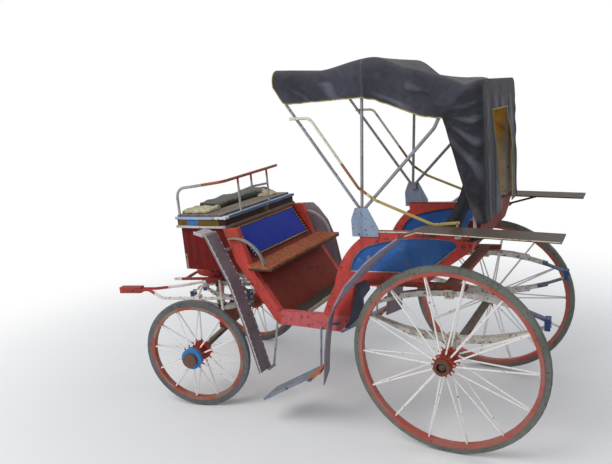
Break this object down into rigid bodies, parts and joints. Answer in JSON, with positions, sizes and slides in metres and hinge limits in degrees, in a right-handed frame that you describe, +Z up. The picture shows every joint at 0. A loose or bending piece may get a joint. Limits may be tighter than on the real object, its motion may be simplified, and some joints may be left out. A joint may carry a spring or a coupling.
{
  "type": "horse-drawn carriage",
  "caption": "Weathered open horse-drawn carriage with a folding hood, driver's box seat, jump seat, wire-spoked wheels and a turning fore-carriage.",
  "frame": {"origin": "centre of the outline on the ground: X and Y at the middle of the box around the part, Z at the ground", "axes": "the carriage faces -X; +Y to its right-hand side; +Z up"},
  "size_m": [3.0976, 1.3228, 2.026],
  "materials": {
    "rear_tyre_rubber": "matte, weathered",
    "front_tyre_rubber": "matte, perished",
    "wheel_paint": "chalky white paint",
    "axle_iron": "rusty grey iron",
    "spring_paint": "white paint, rust showing",
    "shackle_paint": "blue paint, worn",
    "iron_black": "black iron",
    "gear_paint": "weathered red and white paint",
    "gear_wood": "painted wood, faded",
    "frame_red": "orange-red paint, faded",
    "panel_blue": "blue paint, faded",
    "panel_dark_red": "dark red paint, scuffed",
    "moulding_blue": "pale blue paint, chipped",
    "board_worn": "bare weathered wood",
    "guard_slate": "slate paint, rust at the foot",
    "iron_grey": "flat grey paint",
    "hood_iron_paint": "cream paint with rust",
    "pad_blue_cloth": "blue leathercloth, studded",
    "seat_leather": "cracked grey-green leathercloth",
    "stuffing": "teased fibre",
    "plank_wood": "bare grey wood",
    "rear_seat_leather": "dull red leathercloth",
    "hood_cloth": "charcoal coated cloth"
  },
  "bodies": {
    "body": {"rear_axle": "axle_iron", "rear_springs": "spring_paint", "rear_shackles": "shackle_paint", "spring_clips": "iron_black", "body_beams": "gear_wood", "side_frames": "frame_red", "quarter_panels": "panel_blue", "floor_board": "board_worn", "splash_panels": "guard_slate", "rear_shell": "panel_dark_red", "seat_board": "gear_wood", "seat_cushion": "rear_seat_leather", "back_cushion": "rear_seat_leather", "box_carcase": "panel_dark_red", "slant_panel": "frame_red", "box_rear_pad": "pad_blue_cloth", "seat_frame": "moulding_blue", "seat_planks": "plank_wood", "seat_pad": "seat_leather", "seat_stuffing": "stuffing", "seat_rail": "iron_grey", "jump_seat": "board_worn", "jump_seat_arms": "iron_grey", "front_mudguards": "guard_slate", "rear_mudguards": "guard_slate", "step_hangers": "gear_paint", "step_boards": "board_worn", "hood_plates": "iron_grey", "hood_bows": "iron_grey", "hood_irons": "hood_iron_paint", "hood_cloth": "hood_cloth", "upper_turntable": "gear_wood"},
    "fore_carriage": {"front_axle": "axle_iron", "front_bolster": "gear_wood", "front_springs": "spring_paint", "front_shackles": "shackle_paint", "front_spring_clips": "iron_black", "lower_turntable": "gear_paint", "pole_tubes": "gear_paint", "pole_socket": "gear_paint"},
    "rear_wheel_left": {"rear_wheel_left_tyre": "rear_tyre_rubber", "rear_wheel_left_rim": "wheel_paint"},
    "rear_wheel_right": {"rear_wheel_right_tyre": "rear_tyre_rubber", "rear_wheel_right_rim": "wheel_paint"},
    "front_wheel_left": {"front_wheel_left_tyre": "front_tyre_rubber", "front_wheel_left_rim": "wheel_paint"},
    "front_wheel_right": {"front_wheel_right_tyre": "front_tyre_rubber", "front_wheel_right_rim": "wheel_paint"}
  },
  "joints": [
    {"name": "rear_wheel_left_spin", "type": "hinge", "parent": "body", "child": "rear_wheel_left", "pos_m": [0.99678, -0.54, 0.5], "axis": [0, 1, 0], "continuous": true},
    {"name": "rear_wheel_right_spin", "type": "hinge", "parent": "body", "child": "rear_wheel_right", "pos_m": [0.99678, 0.54, 0.5], "axis": [0, 1, 0], "continuous": true},
    {"name": "steering", "type": "hinge", "parent": "body", "child": "fore_carriage", "pos_m": [-0.71222, 0, 0.765], "axis": [0, 0, 1], "range_deg": [-57.1, 32.9]},
    {"name": "front_wheel_left_spin", "type": "hinge", "parent": "fore_carriage", "child": "front_wheel_left", "pos_m": [-0.59881, -0.52898, 0.351], "axis": [-0.2096, 0.9778, 0], "continuous": true},
    {"name": "front_wheel_right_spin", "type": "hinge", "parent": "fore_carriage", "child": "front_wheel_right", "pos_m": [-0.82562, 0.52898, 0.351], "axis": [-0.2096, 0.9778, 0], "continuous": true}
  ]
}
